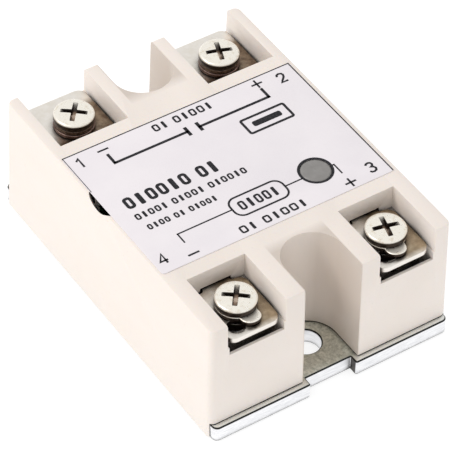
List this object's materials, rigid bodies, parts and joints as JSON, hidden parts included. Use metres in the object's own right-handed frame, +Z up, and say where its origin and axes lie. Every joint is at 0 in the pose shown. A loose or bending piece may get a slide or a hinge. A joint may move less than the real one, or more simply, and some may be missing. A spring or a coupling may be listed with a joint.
{
  "type": "solid state relay",
  "caption": "Panel-mount solid state relay: ivory moulded cap on an aluminium base plate, screw terminals in corner wells, mounting recess at each end, round status light.",
  "frame": {"origin": "centre of the base plate's underside, at the bottom of the whole part", "axes": "+X across the width towards terminals 2 and 3, +Y along the length towards the output terminals 1 and 2, +Z up out of the label"},
  "size_m": [0.045, 0.0636, 0.0232],
  "materials": {
    "housing_plastic": "fine-textured moulded thermoplastic, ivory",
    "label_film": "satin printed film with black print",
    "lens_plastic": "smoked translucent plastic",
    "led_plastic": "tinted clear epoxy",
    "aluminium": "mill finish with rolling lines, sheared edges",
    "plated_steel": "bright nickel plating, slightly warm",
    "plated_brass": "tarnished nickel-plated brass",
    "spring_steel": "dark tempered spring steel",
    "copper": "bare copper",
    "alumina": "unglazed white ceramic",
    "black_epoxy": "moulded component epoxy",
    "resistor_enamel": "enamel coating",
    "board_laminate": "glass-epoxy laminate with solder mask",
    "capacitor_sleeve": "shrink sleeve",
    "potting_resin": "cast resin"
  },
  "bodies": {
    "relay_body": {"base_plate": "aluminium", "housing": "housing_plastic", "label": "label_film", "status_lens": "lens_plastic", "status_led": "led_plastic", "ceramic_insulator": "alumina", "drain_pad": "copper", "source_pad": "copper", "mosfet_1": "black_epoxy", "mosfet_2": "black_epoxy", "gate_pin_1": "copper", "gate_pin_2": "copper", "potting_fill": "potting_resin", "circuit_board": "board_laminate", "optocoupler": "black_epoxy", "resistor_1": "resistor_enamel", "resistor_2": "resistor_enamel", "resistor_3": "resistor_enamel", "input_diode": "black_epoxy", "driver_transistor": "black_epoxy", "filter_capacitor": "capacitor_sleeve", "surge_suppressor": "black_epoxy", "terminal_plate_1": "plated_brass", "terminal_plate_2": "plated_brass", "terminal_plate_3": "plated_brass", "terminal_plate_4": "plated_brass"},
    "clamp_1": {"clamp_washer_1": "plated_brass", "lock_washer_1": "spring_steel"},
    "screw_1": {"terminal_screw_1": "plated_steel"},
    "clamp_2": {"clamp_washer_2": "plated_brass", "lock_washer_2": "spring_steel"},
    "screw_2": {"terminal_screw_2": "plated_steel"},
    "clamp_3": {"clamp_washer_3": "plated_steel"},
    "screw_3": {"terminal_screw_3": "plated_steel"},
    "clamp_4": {"clamp_washer_4": "plated_steel"},
    "screw_4": {"terminal_screw_4": "plated_steel"}
  },
  "joints": [
    {"name": "clamp_lift_1", "type": "slide", "parent": "relay_body", "child": "clamp_1", "axis": [0, 0, 1], "range_m": [0, 0.0027]},
    {"name": "screw_turn_1", "type": "hinge", "parent": "clamp_1", "child": "screw_1", "pos_m": [-0.0139, 0.0229, 0.0203], "axis": [0, 0, 1], "range_deg": [0, 1620]},
    {"name": "clamp_lift_2", "type": "slide", "parent": "relay_body", "child": "clamp_2", "axis": [0, 0, 1], "range_m": [0, 0.0027]},
    {"name": "screw_turn_2", "type": "hinge", "parent": "clamp_2", "child": "screw_2", "pos_m": [0.0139, 0.0229, 0.0203], "axis": [0, 0, 1], "range_deg": [0, 1620]},
    {"name": "clamp_lift_3", "type": "slide", "parent": "relay_body", "child": "clamp_3", "axis": [0, 0, 1], "range_m": [0, 0.0027]},
    {"name": "screw_turn_3", "type": "hinge", "parent": "clamp_3", "child": "screw_3", "pos_m": [0.0139, -0.0243, 0.0203], "axis": [0, 0, 1], "range_deg": [0, 1620]},
    {"name": "clamp_lift_4", "type": "slide", "parent": "relay_body", "child": "clamp_4", "axis": [0, 0, 1], "range_m": [0, 0.0027]},
    {"name": "screw_turn_4", "type": "hinge", "parent": "clamp_4", "child": "screw_4", "pos_m": [-0.0139, -0.0243, 0.0203], "axis": [0, 0, 1], "range_deg": [0, 1620]}
  ],
  "couplings": [
    {"joint": "screw_turn_1", "follows": "clamp_lift_1", "rad_per_m": 10472},
    {"joint": "screw_turn_2", "follows": "clamp_lift_2", "rad_per_m": 10472},
    {"joint": "screw_turn_3", "follows": "clamp_lift_3", "rad_per_m": 10472},
    {"joint": "screw_turn_4", "follows": "clamp_lift_4", "rad_per_m": 10472}
  ]
}
